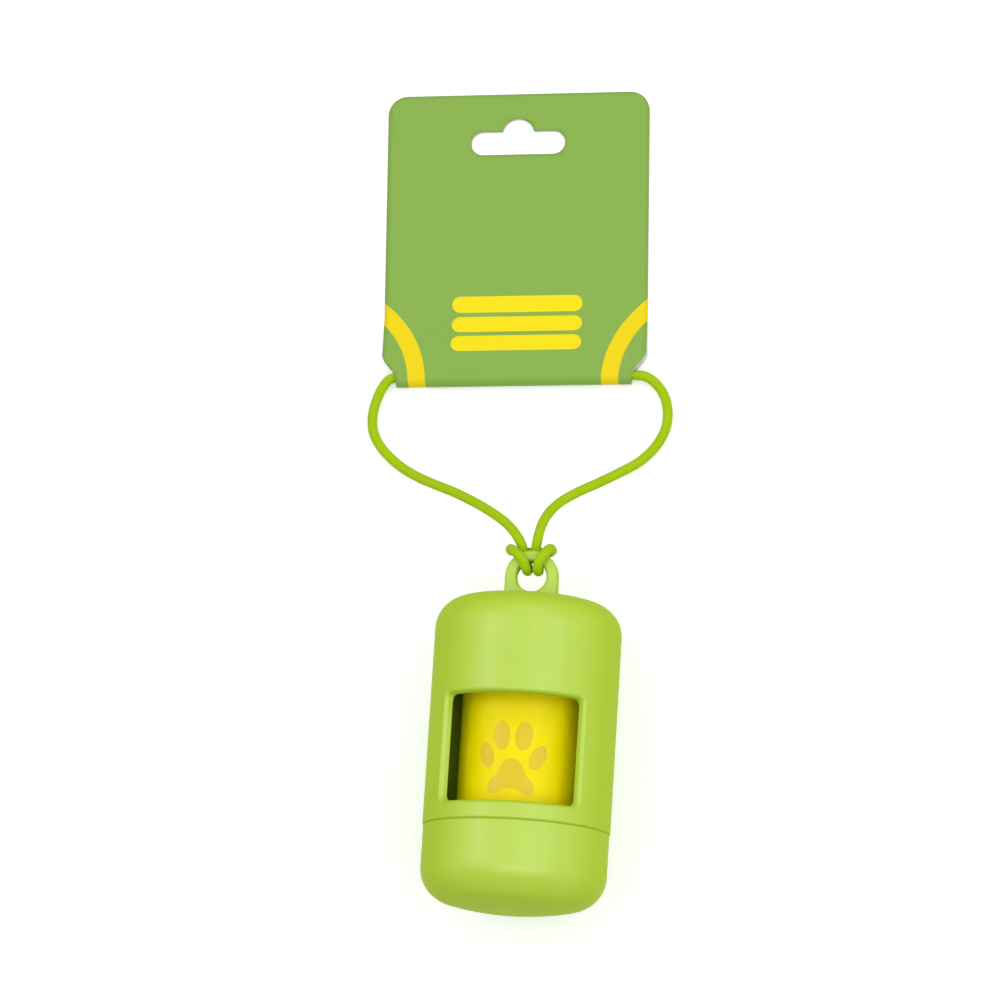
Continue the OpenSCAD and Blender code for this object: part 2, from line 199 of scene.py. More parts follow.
class Graph:
    """Adds and wires the nodes of one material."""

    def __init__(self, name):
        self.material = bpy.data.materials.new(name)
        self.material.use_nodes = True
        self.tree = self.material.node_tree
        self.shader = self.tree.nodes["Principled BSDF"]

    def put(self, socket, value):
        """Links a socket to another one or sets its value. None leaves it as it is."""
        if isinstance(value, bpy.types.NodeSocket):
            self.tree.links.new(value, socket)
        elif value is not None:
            socket.default_value = value

    def add(self, kind, inputs, **settings):
        """A new node with its inputs put in, by name or by number, and its settings."""
        node = self.tree.nodes.new("ShaderNode" + kind)
        for key, value in settings.items():
            setattr(node, key, value)
        for key, value in inputs.items():
            self.put(node.inputs[key], value)
        return node

    def finish(self, **inputs):
        """Sets the shader's sockets; a name's underscores stand for spaces."""
        for key, value in inputs.items():
            self.put(self.shader.inputs[key.replace("_", " ")], value)
        return self.material

    def math(self, operation, a, b=None, c=None):
        return self.add("Math", {0: a, 1: b, 2: c}, operation=operation).outputs[0]

    def vector(self, operation, a, b=None):
        return self.add("VectorMath", {0: a, 1: b}, operation=operation)

    def spread(self, value, low, high, to_low=0.0, to_high=1.0, smooth=False):
        """Maps low..high to to_low..to_high, held at both ends."""
        kind = "SMOOTHSTEP" if smooth else "LINEAR"
        inputs = {0: value, 1: low, 2: high, 3: to_low, 4: to_high}
        return self.add("MapRange", inputs, interpolation_type=kind).outputs[0]

    def mix(self, factor, a, b):
        """Colour a where the factor is 0 and colour b where it is 1."""
        node = self.add("Mix", {}, data_type="RGBA")
        for index, value in ((0, factor), (6, a), (7, b)):
            self.put(node.inputs[index], value)
        return node.outputs[2]

    def shade(self, value, low, high, colours):
        """Goes from the first colour to the second as the value goes from low to high."""
        return self.mix(self.spread(value, low, high), *colours)

    def noise(self, point, scale, detail, roughness=0.5):
        return self.add("TexNoise", {"Vector": point, "Scale": scale, "Detail": detail,
                                     "Roughness": roughness}).outputs[0]

    def object_point(self, stretch=(1, 1, 1)):
        """Place in the row frame at rest, stretched along the axes."""
        place = self.add("TexCoord", {}).outputs["Object"]
        return self.vector("MULTIPLY", place, stretch).outputs[0]

    def flat_point(self, stretch=(1, 1, 1)):
        """The mesh's own flat coordinates, in metres, stretched across and along."""
        place = self.add("UVMap", {}, uv_map="flat").outputs[0]
        return self.vector("MULTIPLY", place, stretch).outputs[0]

    def parts(self, point):
        return self.add("SeparateXYZ", {0: point}).outputs

    def bump(self, height, distance, strength, normal=None):
        """Relief of a height from 0 to 1, that stands for a distance, on a normal."""
        return self.add("Bump", {"Height": height, "Distance": distance,
                                 "Strength": strength, "Normal": normal}).outputs[0]


def colour(red, green, blue):
    return (red, green, blue, 1.0)


WHITE = colour(1, 1, 1)
LIMES = colour(0.418, 0.61, 0.0), colour(0.438, 0.63, 0.001)
SATIN = 0.32, 0.36
RUBBED_MORE = 0.08
TURNED_AWAY_MORE = 0.6


def moulded_plastic():
    """Lime plastic straight from a polished mould: an even satin gloss that is softer
    where the surface turns away, faint flow waves in the wall, a very fine grain, and
    the small rubs of handling."""
    g = Graph("moulded_plastic")
    point = g.object_point()
    base = g.shade(g.noise(point, 40, 3), 0.3, 0.7, LIMES)
    grain = g.noise(point, 2600, 2)
    satin = g.spread(grain, 0.3, 0.7, *SATIN)
    rubs = g.noise(g.object_point((900, 60, 300)), 1, 4, 0.6)
    rubbed = g.math("MULTIPLY", g.spread(rubs, 0.62, 0.72), RUBBED_MORE)
    facing = g.add("LayerWeight", {"Blend": 0.5}).outputs["Facing"]
    turned_away = g.spread(facing, 0.1, 0.5, 0.0, TURNED_AWAY_MORE)
    roughness = g.math("ADD", g.math("ADD", satin, rubbed), turned_away)
    waves = g.bump(g.noise(point, 70, 1), mm(0.12), 0.5)
    fine = g.bump(grain, mm(0.004), 0.6, waves)
    return g.finish(Base_Color=base, Roughness=roughness, Normal=fine,
                    Specular_IOR_Level=1.0)


# The paw print's ellipses, on the bag's flat side: middle, half width, half height, tilt
TOES = [
    (mm(-2.85, -3.4), mm(2.1), mm(3.6), -5),
    (mm(2.65, -3.5), mm(2.2), mm(3.55), 6),
    (mm(-6.6, -8.3), mm(1.9), mm(3.2), -19),
    (mm(6.45, -8.5), mm(1.95), mm(3.25), 27),
]
PAD = [
    (mm(0, -12.6), mm(3.1), mm(3.6), 0),
    (mm(-4.1, -15.7), mm(1.45), mm(1.95), 39),
    (mm(4.1, -15.9), mm(1.45), mm(1.95), -39),
]
PAD_FILLING = 2.5
PRINT_EDGE = 0.97, 1.03


def ellipse(g, point, centre, half_w, half_h, tilt):
    """0 at an ellipse's middle and 1 on its outline. tilt, in degrees, leans its top."""
    moved = g.vector("SUBTRACT", point, (*centre, 0)).outputs[0]
    rotated = g.add("VectorRotate", {"Vector": moved, "Angle": math.radians(tilt)},
                    rotation_type="Z_AXIS").outputs[0]
    scaled = g.vector("DIVIDE", rotated, (half_w, half_h, 1)).outputs[0]
    return g.vector("LENGTH", scaled).outputs["Value"]


def paw_print(g):
    """1 inside a plain paw print, and 0 outside it."""
    point = g.flat_point()
    shape = ellipse(g, point, *PAD[0])
    for place in PAD[1:]:
        shape = g.math("SMOOTH_MIN", shape, ellipse(g, point, *place), PAD_FILLING)
    for place in TOES:
        shape = g.math("MINIMUM", shape, ellipse(g, point, *place))
    return g.spread(shape, *PRINT_EDGE, 1, 0)


FILM_YELLOWS = colour(0.98, 0.785, 0.001), colour(0.995, 0.84, 0.001)
PAW_INK = colour(0.83, 0.59, 0.001)
FILM_GLOSS, INK_GLOSS = 0.1, 0.5


def bag_film(with_paw):
    """Thin yellow film, wound tight: faint pull lines across the lap, small creases, and
    on the outer bag a paw print in a darker, glossier ink. The gloss is a thin coat."""
    g = Graph("bag_film_printed" if with_paw else "bag_film")
    film = g.shade(g.noise(g.flat_point((140, 90, 1)), 1, 3), 0.35, 0.65, FILM_YELLOWS)
    pulls = g.noise(g.flat_point((60, 700, 1)), 1, 3, 0.55)
    creases = g.noise(g.flat_point((420, 90, 1)), 1, 4, 0.6)
    roughness = g.spread(creases, 0.3, 0.7, 0.42, 0.52)
    gloss = FILM_GLOSS
    if with_paw:
        paw = paw_print(g)
        film = g.mix(paw, film, PAW_INK)
        gloss = g.spread(paw, 0, 1, FILM_GLOSS, INK_GLOSS)
    waves = g.bump(creases, mm(0.05), 0.5)
    fine = g.bump(pulls, mm(0.02), 0.5, waves)
    return g.finish(Base_Color=film, Roughness=roughness, Normal=fine,
                    Specular_IOR_Level=0.05, Coat_Weight=gloss, Coat_Roughness=0.12)


BOARD_BROWNS = colour(0.33, 0.22, 0.12), colour(0.50, 0.36, 0.21)
BOARD_SEAM = colour(0.16, 0.10, 0.05)
BOARD_STRIP = mm(22)
BOARD_SEAM_SHARE = 0.012


def core_board():
    """Brown paperboard, wound as a spiral strip."""
    g = Graph("core_board")
    x, y, z = g.parts(g.object_point())
    turn = g.math("ARCTAN2", x, g.math("SUBTRACT", z, AXIS_Z))
    lead = g.math("MULTIPLY", y, 2 * math.pi / BOARD_STRIP)
    across = g.math("FRACT", g.math("DIVIDE", g.math("ADD", turn, lead), 2 * math.pi))
    off_seam = g.math("ABSOLUTE", g.math("SUBTRACT", across, 0.5))
    seam = g.spread(off_seam, 0.0, BOARD_SEAM_SHARE, 1, 0)
    fibre = g.noise(g.object_point((900, 350, 900)), 1, 4, 0.65)
    base = g.shade(fibre, 0.25, 0.75, BOARD_BROWNS)
    base = g.mix(g.math("MULTIPLY", seam, 0.6), base, BOARD_SEAM)
    height = g.math("SUBTRACT", g.math("MULTIPLY", fibre, 0.4), seam)
    return g.finish(Base_Color=base, Roughness=0.85, Normal=g.bump(height, mm(0.08), 0.7))


YARN_LIMES = colour(0.365, 0.56, 0.002), colour(0.47, 0.70, 0.004)
# Painted shade: the dark green that the valleys between the braid's strands are mixed towards
PAINTED_VALLEY_SHADE = colour(0.13, 0.22, 0.003)


def braided_cover():
    """Olive-lime yarn of the elastic's braided cover, with painted shade that darkens the
    valleys between the raised strands.
    """
    g = Graph("braided_cover")
    raised = g.add("Attribute", {}, attribute_name="raised").outputs["Fac"]
    yarn = g.noise(g.flat_point((9000, 2500, 1)), 1, 2)
    lit = g.shade(yarn, 0.25, 0.75, YARN_LIMES)
    # Painted shade: where the braid lies low between strands, the yarn colour is mixed towards a
    # dark green
    base = g.mix(g.spread(raised, 0.1, 0.75, 0.75, 0.0), lit, PAINTED_VALLEY_SHADE)
    bump = g.bump(yarn, mm(0.02), 0.5)
    return g.finish(Base_Color=base, Roughness=0.7, Normal=bump, Specular_IOR_Level=0.15)


ALUMINIUM = colour(0.70, 0.71, 0.73), colour(0.80, 0.81, 0.83)


def crimped_metal():
    """Aluminium tube with a drawn grain along it."""
    g = Graph("crimped_metal")
    grain = g.noise(g.object_point((120, 6000, 6000)), 1, 3)
    roughness = g.spread(grain, 0.3, 0.7, 0.22, 0.38)
    return g.finish(Base_Color=g.mix(grain, *ALUMINIUM), Metallic=1.0,
                    Roughness=roughness, Normal=g.bump(grain, mm(0.01), 0.4))


CARD_GREEN = colour(0.26, 0.459, 0.075)
BAND_YELLOW = colour(0.945, 0.717, 0.0)
PILL_YELLOW = colour(0.985, 0.8, 0.0)
RAW_BOARD = colour(0.78, 0.77, 0.74)
FIBRE_WHITE = colour(0.9, 0.9, 0.88)
COATED_ROUGHNESS, RAW_ROUGHNESS = 0.42, 0.75
PRINT_SOFTNESS = mm(0.08)

# Places on the card: across from its middle, and up from the outermost line of its fold
BAND_CENTRE = mm(51.5, 0.8)
BAND_R = mm(24.7, 29.1)
PILL_MIDDLES = mm(23.1, 17.7, 12.35)
PILL_U = mm(0.4)
PILL_W, PILL_H = mm(33.4, 4.25)


def paperboard(g, ink, roughness):
    """Board under a matt coat, with faint fibres and a softly uneven surface."""
    point = g.object_point()
    fibre = g.noise(point, 1500, 4, 0.7)
    cloud = g.noise(point, 60, 2)
    height = g.math("ADD", g.math("MULTIPLY", fibre, 0.15), cloud)
    base = g.mix(g.spread(fibre, 0.2, 0.8, 0.0, 0.02), ink, FIBRE_WHITE)
    uneven = g.spread(cloud, 0.3, 0.7, roughness, roughness + 0.08)
    return g.finish(Base_Color=base, Roughness=uneven,
                    Normal=g.bump(height, mm(0.05), 0.35), Specular_IOR_Level=0.12)


def hypotenuse(g, a, b):
    """The long side of a right-angled triangle."""
    a_squared, b_squared = g.math("MULTIPLY", a, a), g.math("MULTIPLY", b, b)
    return g.math("SQRT", g.math("ADD", a_squared, b_squared))


def away_from(g, value, middle, reach=0.0):
    """How far a value lies from a middle, less a reach."""
    distance = g.math("ABSOLUTE", g.math("SUBTRACT", value, middle))
    return g.math("SUBTRACT", distance, reach)


def card_print():
    """The card's printed side: green, with two curved yellow bands and three pills."""
    g = Graph("card_print")
    u, s, _ = g.parts(g.flat_point())
    across = away_from(g, away_from(g, u, 0.0), BAND_CENTRE[0])
    up = away_from(g, s, BAND_CENTRE[1])
    inner, outer = BAND_R
    band_r, half_band = (inner + outer) / 2, (outer - inner) / 2
    off_band = away_from(g, hypotenuse(g, across, up), band_r, half_band)
    past_end = g.math("MAXIMUM", away_from(g, u, PILL_U, (PILL_W - PILL_H) / 2), 0.0)
    to_pills = [hypotenuse(g, past_end, away_from(g, s, middle))
                for middle in PILL_MIDDLES]
    nearest = g.math("MINIMUM", g.math("MINIMUM", to_pills[0], to_pills[1]), to_pills[2])
    off_pills = g.math("SUBTRACT", nearest, PILL_H / 2)
    ink = CARD_GREEN
    for off, yellow in ((off_band, BAND_YELLOW), (off_pills, PILL_YELLOW)):
        printed = g.spread(off, -PRINT_SOFTNESS / 2, PRINT_SOFTNESS / 2, 1, 0)
        ink = g.mix(printed, ink, yellow)
    return paperboard(g, ink, COATED_ROUGHNESS)


def white_board():
    """The card's raw side and its cut edges."""
    return paperboard(Graph("white_board"), RAW_BOARD, RAW_ROUGHNESS)


# ---------------------------------------------------------------- cord

CORD_D = mm(2.5)
FERRULE_LEN = mm(9)
FOLD_LEN = mm(60)
FOLD_END_RUN = mm(1.5)
CORD_STEP = mm(0.2)
CORD_SIDES = 48
SPLINE_STEPS = 24
BRAID_STRANDS = 12
BRAID_LEAD = mm(9.5)
BRAID_RELIEF = mm(0.07)
STRAND_UNDER = 0.35

# The route in metres, as in the CAD source: the legs from the eye's centre in X and Y and
# from the table in Z, and the hitch from the eye's centre
LEFT_LEG = [
    (-.0442, .0516, .0019), (-.0457, .0483, .0014), (-.0465, .044, .0013),
    (-.046, .0399, .0013), (-.0437, .0359, .0013), (-.0392, .0317, .0018),
    (-.0338, .0283, .004), (-.0288, .026, .006), (-.0233, .0237, .0083),
    (-.0185, .0213, .0107), (-.0143, .0189, .0131), (-.0107, .0165, .0154),
    (-.0078, .0142, .0174), (-.0054, .0116, .019),
]
HITCH = [
    (-.0036, .0088, -.0032), (-.0031, .0072, -.0032), (-.0024, .0052, -.0032),
    (-.0019, .0036, -.0032), (-.0015, .0023, -.0025), (-.00135, .00175, -.0011),
    (-.00135, .00175, .0011), (-.0015, .0023, .0025), (-.0021, .0037, .0033),
    (-.0035, .0051, .0033), (-.0047, .0062, .0025), (-.0055, .0068, .0007),
    (-.006, .0071, -.0014), (-.006, .0072, -.0036), (-.0051, .0073, -.0054),
    (-.0033, .0074, -.0062), (-.001, .0074, -.0064), (.0013, .0074, -.0062),
    (.0031, .0074, -.0053), (.004, .0074, -.0035), (.0043, .0073, -.0014),
    (.0043, .0072, .0007), (.0039, .0066, .0025), (.0031, .0053, .0033),
    (.002, .0037, .0033), (.0015, .0023, .0025), (.00135, .00175, .0011),
    (.00135, .00175, -.0011), (.00125, .0023, -.0025), (.0009, .0036, -.0032),
    (.0004, .0052, -.0032), (.0001, .0072, -.0032), (.0002, .009, -.0032),
]
RIGHT_LEG = [
    (.0005, .012, .0188), (.001, .015, .017), (.0021, .0182, .0143),
    (.0043, .0215, .0113), (.008, .0247, .0083), (.0132, .0281, .0054),
    (.0181, .0314, .0031), (.0224, .0345, .0016), (.026, .0383, .0013),
    (.0283, .0427, .0013), (.0288, .047, .0013), (.0277, .0516, .0013),
    (.0253, .0548, .0017), (.0229, .0563, .0021),
]


def cord_route():
    """The route's points, from one face of the crimp sleeve round the loop to the
    other."""
    table = np.array([EYE_CENTRE[0], EYE_CENTRE[1], 0])
    in_fold = [FERRULE_LEN / 2, FOLD_LEN / 3, FOLD_LEN / 2 + FOLD_END_RUN]
    start = [FOLD_CENTRE - FOLD_ALONG * x for x in in_fold]
    end = [FOLD_CENTRE + FOLD_ALONG * x for x in reversed(in_fold)]
    legs = [[table + p for p in leg] for leg in (LEFT_LEG, RIGHT_LEG)]
    hitch = [EYE_CENTRE + p for p in HITCH]
    return np.array(start + legs[0] + hitch + legs[1] + end)


def places_along(line):
    """How far along a line of points each of them lies."""
    return np.concatenate([[0], np.cumsum(np.linalg.norm(np.diff(line, axis=0), axis=1))])


def smooth_line(points, step):
    """A centripetal Catmull-Rom line through the points: its own points, a step apart,
    and how far along it each of them lies."""
    ends = 2 * points[[0, -1]] - points[[1, -2]]
    knots = np.vstack([ends[:1], points, ends[1:]])
    line = []
    for p0, p1, p2, p3 in zip(knots, knots[1:], knots[2:], knots[3:]):
        t0 = 0.0
        t1 = t0 + np.linalg.norm(p1 - p0) ** 0.5
        t2 = t1 + np.linalg.norm(p2 - p1) ** 0.5
        t3 = t2 + np.linalg.norm(p3 - p2) ** 0.5
        for t in np.linspace(t1, t2, SPLINE_STEPS, endpoint=False):
            a1 = ((t1 - t) * p0 + (t - t0) * p1) / (t1 - t0)
            a2 = ((t2 - t) * p1 + (t - t1) * p2) / (t2 - t1)
            a3 = ((t3 - t) * p2 + (t - t2) * p3) / (t3 - t2)
            b1 = ((t2 - t) * a1 + (t - t0) * a2) / (t2 - t0)
            b2 = ((t3 - t) * a2 + (t - t1) * a3) / (t3 - t1)
            line.append(((t2 - t) * b1 + (t - t1) * b2) / (t2 - t1))
    line = np.array(line + [points[-1]])
    along = places_along(line)
    places = np.linspace(0, along[-1], int(along[-1] / step) + 1)
    spaced = np.stack([np.interp(places, along, line[:, k]) for k in range(3)], axis=1)
    return spaced, places


def frames_along(line):
    """Two directions across the line at each point, turned as little as can be."""
    along = np.gradient(line, axis=0)
    along /= np.linalg.norm(along, axis=1)[:, None]
    across = np.empty_like(line)
    first = np.cross(along[0], [0, 0, 1])
    across[0] = first / np.linalg.norm(first)
    for i in range(1, len(line)):
        turned = across[i - 1] - (across[i - 1] @ along[i]) * along[i]
        across[i] = turned / np.linalg.norm(turned)
    return across, np.cross(along, across)


def braid_height(around, along):
    """Height, 0 to 1, of a braid of two sets of strands that pass over and under. A
    strand's crown lies at 1 where it passes over and at STRAND_UNDER where under."""
    a = BRAID_STRANDS * (around + along / BRAID_LEAD)
    b = BRAID_STRANDS * (around - along / BRAID_LEAD)

    def strand(across, lengthways, lift):
        crown = 1 - (2 * (across % 1) - 1) ** 2
        over = 0.5 + 0.5 * np.sin(math.pi * (lengthways + lift))
        return np.sqrt(crown) * (STRAND_UNDER + (1 - STRAND_UNDER) * over)

    return np.maximum(strand(a, b, np.floor(a)), strand(b, a, np.floor(b) + 1))


def make_cord():
    """The elastic loop, one braided tube along the route, and its crimp sleeve. Gives
    both, the tube's middle line and its length."""
    line, places = smooth_line(cord_route(), CORD_STEP)
    across, over = frames_along(line)
    around = np.arange(CORD_SIDES + 1) / CORD_SIDES
    angle = 2 * math.pi * around
    height = braid_height(around[None, :], places[:, None])
    radius = CORD_D / 2 - BRAID_RELIEF * (1 - height)
    rings = line[:, None, :] + radius[:, :, None] * (
        np.cos(angle)[None, :, None] * across[:, None, :]
        + np.sin(angle)[None, :, None] * over[:, None, :]
    )
    girth = math.pi * CORD_D * around
    uvs = np.stack(np.broadcast_arrays(girth[None, :], places[:, None]), axis=2)
    cord = loft("elastic_loop", rings[:, :-1], uvs)
    raised = cord.data.attributes.new("raised", "FLOAT", "POINT")
    raised.data.foreach_set("value", height[:, :-1].astype(np.float32).ravel())
    dress(cord, braided_cover(), "housing", ["cord_loop"])
    sleeve = dress(frame["nodes"]["cord_ferrule"], crimped_metal())
    return cord, sleeve, line, places[-1]


# ---------------------------------------------------------------- roll

ROLL_R = mm(15.4)
LAP_GAP = mm(0.12)
CORE_GAP = mm(0.2)
LAP_SWEEP = math.radians(357)
FACING_UP = 1.5 * math.pi
BAG_SEED = 100
BAGS = [name for name in frame["nodes"] if name.startswith("bag_")]

# A lap's section: the shares of its width at the outside and at the inside, and between
# them the folded layers, whose edges lie back in mm by chance and in waves
OUTSIDE_WIDTH, INSIDE_WIDTH = 0.994, 0.995
EDGE_LAYERS = 6
EDGE_CHANCE, EDGE_CHANCE_SHARE = (0.02, 0.3), 0.6
EDGE_WAVES = 0.25

# The outer bag's wrinkles: depth, and how fast the broad and the narrow ones change round
# the roll and along it
WRINKLE_DEPTH = mm(0.07)
BROAD_WRINKLES, NARROW_WRINKLES = (2.2, 160), (7, 420)


def wrinkles(a, y):
    """How deep the outer bag's wrinkles are at a turn a and a place y along the roll."""
    (broad_a, broad_y), (narrow_a, narrow_y) = BROAD_WRINKLES, NARROW_WRINKLES
    pull = noise.noise(Vector((a * broad_a, y * broad_y, 3)))
    pull += 0.5 * noise.noise(Vector((a * narrow_a, y * narrow_y, 9)))
    return WRINKLE_DEPTH * (1 + pull)


def make_bag(number, material):
    """One bag, wound as one lap: wrinkled outside on the outermost bag, and with the
    uneven edges of its folded layers at both ends."""
    rng = random.Random(BAG_SEED + number)
    core_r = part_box("roll_core")[1].x
    low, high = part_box("bag_01")
    half_len = (high.y - low.y) / 2
    pitch = (ROLL_R + LAP_GAP - core_r - CORE_GAP) / (len(BAGS) + 1)
    start_r = core_r + CORE_GAP + (len(BAGS) - number) * pitch
    thickness = pitch - LAP_GAP
    outermost = number == 1
    steps_round, steps_wide = (240, 72) if outermost else (120, 4)
    ragged = [[rng.uniform(*EDGE_CHANCE) for _ in range(EDGE_LAYERS + 1)]
              for _ in range(2)]
    rings, uvs = [], []
    for i in range(steps_round + 1):
        a = LAP_SWEEP * i / steps_round
        inner = start_r + pitch * a / (2 * math.pi)
        profile = []
        for k in range(steps_wide + 1):
            y = half_len * (1 - 2 * k / steps_wide)
            profile.append((inner + thickness, y * OUTSIDE_WIDTH))
        for side, depths in zip((-1, 1), ragged):
            layers = range(1, EDGE_LAYERS)
            if side > 0:
                layers = reversed(layers)
                profile.append((inner, -half_len * INSIDE_WIDTH))
                profile.append((inner, half_len * INSIDE_WIDTH))
            for k in layers:
                at = Vector((3 * math.cos(a) + 7 * k, 3 * math.sin(a), number))
                wave = 0.5 + 0.5 * noise.noise(at)
                dent = mm(depths[k] * EDGE_CHANCE_SHARE + EDGE_WAVES * wave)
                layer_r = inner + thickness * (1 - k / EDGE_LAYERS)
                profile.append((layer_r, side * (half_len - dent)))
        ring = []
        for r, y in profile:
            on_outside = r > inner + thickness * 0.99
            if outermost and on_outside:
                r -= wrinkles(a, y)
            ring.append((r * math.cos(a), ROLL_MID_Y + y, AXIS_Z - r * math.sin(a)))
        rings.append(ring)
        turn = (a - FACING_UP) * ROLL_R
        uvs.append([(turn, ROLL_MID_Y + p[1]) for p in profile + profile[:1]])
    bag = loft(f"wound_bag_{number:02d}", rings, uvs)
    dress(bag, material, "roll", [f"bag_{number:02d}"])


# ---------------------------------------------------------------- header card

CARD_W = mm(67.5)
CARD_PLY = mm(0.45)
CARD_TOP = mm(74.7)
CARD_CORNER_R = mm(5)
FOLD_R = FOLD_CENTRE[2]
FOLD_MID_R = FOLD_R - CARD_PLY / 2
PLIES_MEET = mm(16)
SLOT_W, SLOT_H, SLOT_V = mm(24.2, 6.1, 61.8)
NOTCH_R, NOTCH_RISE = mm(4.1, 2.2)
PLY_GAPE = mm(0.3)
CARD_GRID = mm(1.6)
FOLD_GRID = CARD_GRID / 8
EDGE_CLEARANCE = CARD_GRID / 4
FOLD_ROWS_WITHIN, FOLD_ROWS = mm(4), 33
TANGENT_STEP = mm(0.1)
LOWER_LAYER_END = mm(0.5)
LAYER_STEPS = 60
FOLD_STEPS = 20
CORNER_STEPS = 12
NOTCH_STEPS = 16

# The cut of a lower corner from the fold's end to the side, as shares of its width
CORNER_CUT = [(0, 0), (0.33, 0.5), (0.8, 1.05), (1, 1.5)]

# What delaunay_2d_cdt is asked for: the triangles inside the outline, with points closer
# together than this many millimetres joined
CUT_INSIDE, CUT_JOINS = 2, 1e-4
MM_IN_M = 1000
TINY = 1e-18


def arc(centre, radius, start, stop, steps):
    """Points of an arc, its angles in degrees."""
    x, y = centre
    angles = np.radians(np.linspace(start, stop, steps + 1))
    return [(x + radius * math.cos(a), y + radius * math.sin(a)) for a in angles]


def card_section():
    """The middle line of the card's section across its fold, from the upper edge of the
    layer on the table, round the fold, to the upper edge of the top layer. Gives the
    line's places along it, 0 at the outermost point of the fold, and its v and z."""
    low_z, high_z = CARD_PLY / 2, 1.5 * CARD_PLY
    meet = (PLIES_MEET, high_z - FOLD_R)
    lift = math.atan2(meet[1], meet[0]) + math.acos(FOLD_MID_R / math.hypot(*meet))
    lower = [(v, low_z) for v in np.linspace(CARD_TOP, LOWER_LAYER_END, LAYER_STEPS)]
    back_of_fold = arc((0, FOLD_R), FOLD_MID_R, 270, 180, FOLD_STEPS)
    front_of_fold = arc((0, FOLD_R), FOLD_MID_R, 180, math.degrees(lift), FOLD_STEPS)[1:]
    upper = []
    for v in np.linspace(PLIES_MEET, CARD_TOP, LAYER_STEPS):
        out = (v - PLIES_MEET) / (CARD_TOP - PLIES_MEET)
        upper.append((v, high_z + PLY_GAPE * out ** 2))
    line = np.array(lower + back_of_fold + front_of_fold + upper)
    along = places_along(line)
    return along - along[len(lower) + len(back_of_fold) - 1], line


def card_blank(places, line):
    """The flat blank, as pairs of u and the place along the section: its outline and its
    two hang slots."""
    half_w, half_fold = CARD_W / 2, FOLD_LEN / 2
    cut = half_w - half_fold
    side = [(half_fold + out * cut, up * cut) for out, up in CORNER_CUT]
    side += arc((half_w - CARD_CORNER_R, CARD_TOP - CARD_CORNER_R), CARD_CORNER_R,
                0, 90, CORNER_STEPS)
    slot_end = (SLOT_W - SLOT_H) / 2
    low = math.degrees(math.asin((SLOT_H / 2 - NOTCH_RISE) / NOTCH_R))
    slot = arc((slot_end, SLOT_V), SLOT_H / 2, -90, 90, CORNER_STEPS)
    slot += arc((0, SLOT_V + NOTCH_RISE), NOTCH_R, low, 180 - low, NOTCH_STEPS)
    slot += arc((-slot_end, SLOT_V), SLOT_H / 2, 90, 270, CORNER_STEPS)

    def unfold(points, sign):
        half = places * sign >= 0
        order = np.argsort(line[half, 0])
        v, s = line[half, 0][order], places[half][order]
        return [(u, float(np.interp(v_at, v, s))) for u, v_at in points]

    outline = []
    for sign in (-1, 1):
        right = unfold(side, sign)
        outline.append((right, [(-u, s) for u, s in reversed(right)]))
    (low_right, low_left), (top_right, top_left) = outline
    ring = list(reversed(low_right)) + top_right + top_left + list(reversed(low_left))
    return ring, [unfold(slot, sign) for sign in (-1, 1)]


def fine_ring(ring):
    """The ring with points between its own, closest together at the fold."""
    fine = []
    for a, b in zip(ring, ring[1:] + ring[:1]):
        step = FOLD_GRID if min(abs(a[1]), abs(b[1])) < 2 * FOLD_R else CARD_GRID
        count = max(1, math.ceil(math.dist(a, b) / step))
        fine += [(a[0] + (b[0] - a[0]) * k / count, a[1] + (b[1] - a[1]) * k / count)
                 for k in range(count)]
    return fine


def clear_of(points, ring, gap):
    """Which of the points lie more than gap from a ring of segments."""
    ring = np.array(ring)
    nearest = np.full(len(points), np.inf)
    for a, b in zip(ring, np.roll(ring, -1, axis=0)):
        t = np.clip((points - a) @ (b - a) / ((b - a) @ (b - a) + TINY), 0, 1)
        away = points - a - t[:, None] * (b - a)
        nearest = np.minimum(nearest, np.linalg.norm(away, axis=1))
    return nearest > gap


def inside(point, ring):
    """Whether a point lies inside a ring: how often a line from it crosses the ring."""
    crossings = 0
    for (u0, s0), (u1, s1) in zip(ring, ring[1:] + ring[:1]):
        if (s0 > point[1]) != (s1 > point[1]):
            crossings += point[0] < u0 + (point[1] - s0) * (u1 - u0) / (s1 - s0)
    return crossings % 2 == 1


